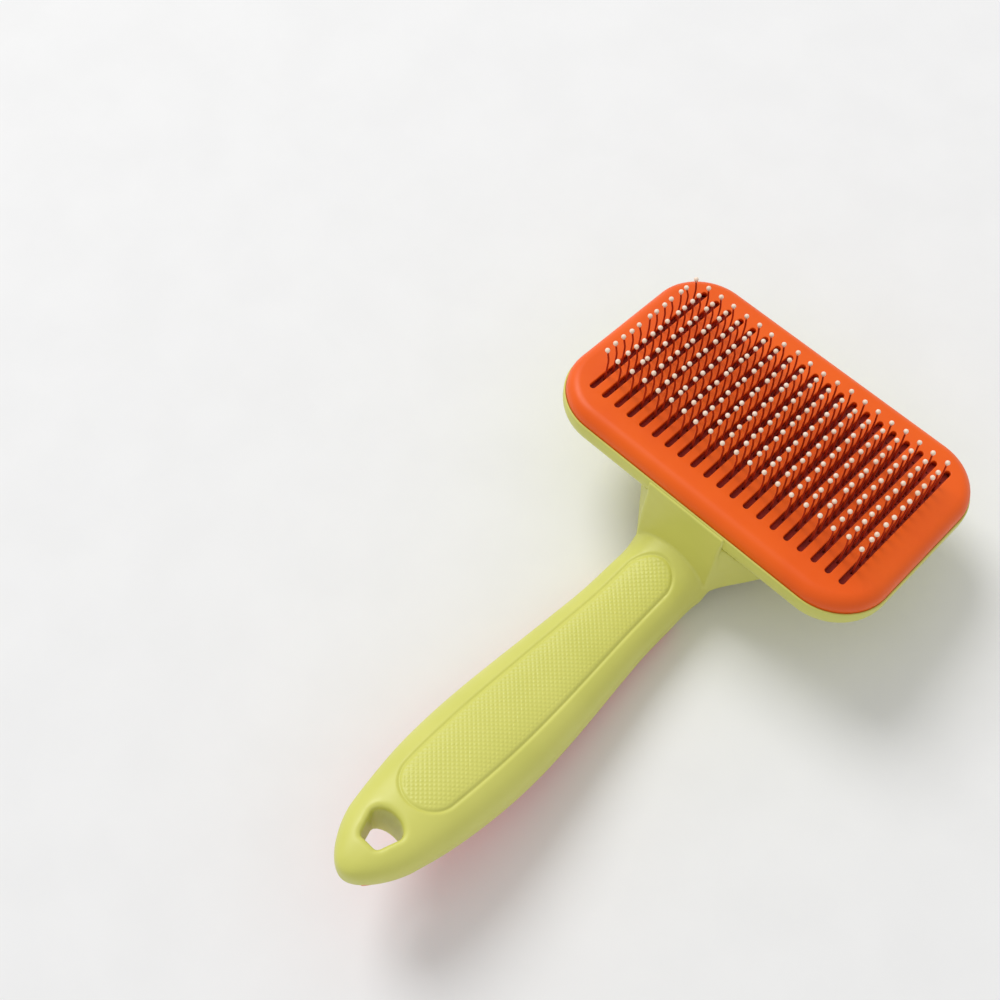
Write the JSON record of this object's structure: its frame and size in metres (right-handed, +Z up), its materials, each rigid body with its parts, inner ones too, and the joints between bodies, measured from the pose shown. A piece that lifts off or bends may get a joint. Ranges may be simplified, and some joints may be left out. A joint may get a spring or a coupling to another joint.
{
  "type": "slicker brush",
  "caption": "Self-cleaning slicker brush: bent wire pins with ball tips slide through slots in a flat head, worked by a thumb button behind the head; moulded handle with hanging hole.",
  "frame": {"origin": "on the ground under the middle of the brush, which lies on its hub and the back of its handle with its pins up", "axes": "+Y from the handle to the head, +Z up; the pins point up and lean 11.85 degrees from +Z towards +Y; the brush is symmetric about the YZ plane apart from its latch"},
  "size_m": [0.1, 0.1828, 0.0506],
  "materials": {
    "green_plastic": "satin moulded yellow-green plastic, light spark-eroded texture",
    "soft_grip": "matt orange overmoulded grip with a fine diamond texture",
    "orange_plastic": "satin moulded orange plastic",
    "pin_wire": "dark red-brown coated spring wire",
    "pin_ball": "cream resin drops",
    "base_rubber": "dark maroon moulded base",
    "white_resin": "natural white resin",
    "steel": "zinc-plated steel"
  },
  "bodies": {
    "brush": {"handle_core": "green_plastic", "back_grip": "soft_grip", "back_shell": "green_plastic", "face_plate": "orange_plastic", "hub_screws": "steel", "return_spring": "steel"},
    "pin_slider": {"button_cap": "orange_plastic", "pin_carrier": "white_resin", "pin_base": "base_rubber", "latch_cam": "white_resin", "pin_row_01": "pin_wire", "pin_row_02": "pin_wire", "pin_row_03": "pin_wire", "pin_row_04": "pin_wire", "pin_row_05": "pin_wire", "pin_row_06": "pin_wire", "pin_row_07": "pin_wire", "pin_row_08": "pin_wire", "pin_row_09": "pin_wire", "pin_row_10": "pin_wire", "pin_row_11": "pin_wire", "pin_row_12": "pin_wire", "pin_row_13": "pin_wire", "pin_row_14": "pin_wire", "pin_row_15": "pin_wire", "pin_row_16": "pin_wire", "pin_row_17": "pin_wire", "pin_row_18": "pin_wire", "pin_row_19": "pin_wire", "pin_row_20": "pin_wire", "pin_tips_01": "pin_ball", "pin_tips_02": "pin_ball", "pin_tips_03": "pin_ball", "pin_tips_04": "pin_ball", "pin_tips_05": "pin_ball", "pin_tips_06": "pin_ball", "pin_tips_07": "pin_ball", "pin_tips_08": "pin_ball", "pin_tips_09": "pin_ball", "pin_tips_10": "pin_ball", "pin_tips_11": "pin_ball", "pin_tips_12": "pin_ball", "pin_tips_13": "pin_ball", "pin_tips_14": "pin_ball", "pin_tips_15": "pin_ball", "pin_tips_16": "pin_ball", "pin_tips_17": "pin_ball", "pin_tips_18": "pin_ball", "pin_tips_19": "pin_ball", "pin_tips_20": "pin_ball"},
    "latch": {"latch_wire": "steel"}
  },
  "joints": [
    {"name": "button_slide", "type": "slide", "parent": "brush", "child": "pin_slider", "axis": [0, -0.2054, -0.9787], "range_m": [0, 0.0125]},
    {"name": "latch_swing", "type": "hinge", "parent": "brush", "child": "latch", "pos_m": [0, 0.05477, 0.00761], "axis": [0, 0.9787, -0.2054], "range_deg": [0, 12]}
  ],
  "couplings": [
    {"joint": "latch_swing", "follows": "button_slide", "rad_per_m": 16.755}
  ]
}
